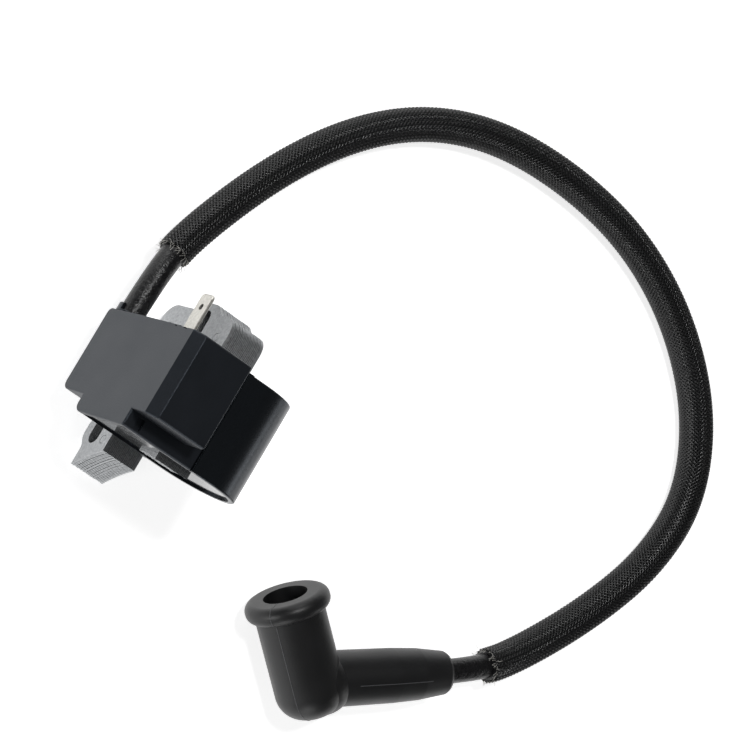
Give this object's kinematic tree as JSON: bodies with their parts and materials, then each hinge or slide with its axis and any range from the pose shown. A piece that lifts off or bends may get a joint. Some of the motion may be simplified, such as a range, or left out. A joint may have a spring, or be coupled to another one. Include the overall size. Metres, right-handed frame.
{
  "type": "ignition coil",
  "caption": "Small-engine ignition module: laminated core with slotted ears, moulded housing and coil case, high-tension lead in a braided sleeve, elbow spark plug boot.",
  "frame": {"origin": "below the middle of the module (core, housing and coil case, with its terminal), on the surface that the module and the lead rest on", "axes": "+X along the core's legs towards the flywheel; +Y along the stack of laminations, from the housing's front towards the round back of the coil case; +Z across the legs, from the foot leg to the far side of the housing"},
  "size_m": [0.1729, 0.1971, 0.0638],
  "materials": {
    "core_steel": "satin, bare electrical steel with the faint edges of its laminations",
    "rivet_steel": "satin, flush rivet ends",
    "housing_plastic": "matte black glass-filled nylon",
    "case_plastic": "satin black moulded nylon",
    "collar_plastic": "semi-gloss black moulded lip",
    "resin": "glossy black cast epoxy",
    "bobbin_plastic": "natural nylon",
    "copper_wire": "enamelled copper wire",
    "board_laminate": "green circuit board laminate",
    "component_epoxy": "matte black component bodies",
    "resistor_lacquer": "tan lacquer",
    "capacitor_film": "red film capacitor",
    "tinned_wire": "tinned copper",
    "terminal_tin": "satin tinned steel",
    "spike_brass": "plain brass",
    "lead_rubber": "glossy black lead insulation",
    "lead_copper": "stranded copper",
    "braid": "black woven polyester braid",
    "boot_rubber": "satin black moulded rubber",
    "spring_steel": "plated spring steel"
  },
  "bodies": {
    "root": {"core_front_plate": "core_steel", "core_stack": "core_steel", "core_back_plate": "core_steel", "core_rivets": "rivet_steel", "front_housing": "housing_plastic", "coil_case": "case_plastic", "lead_collar": "collar_plastic", "potting_resin": "resin", "primary_bobbin": "bobbin_plastic", "primary_winding": "copper_wire", "secondary_bobbin": "bobbin_plastic", "secondary_winding": "copper_wire", "circuit_board": "board_laminate", "power_transistor": "component_epoxy", "trigger_transistor": "component_epoxy", "board_resistors": "resistor_lacquer", "board_diode": "component_epoxy", "board_capacitor": "capacitor_film", "winding_tails": "copper_wire", "earth_strap": "tinned_wire", "stop_terminal": "terminal_tin", "lead_spike": "spike_brass", "secondary_link": "tinned_wire", "lead_insulation": "lead_rubber", "lead_conductor": "lead_copper", "braided_sleeve": "braid", "spark_plug_boot": "boot_rubber", "plug_spring": "spring_steel", "spring_pin": "tinned_wire"}
  },
  "joints": []
}
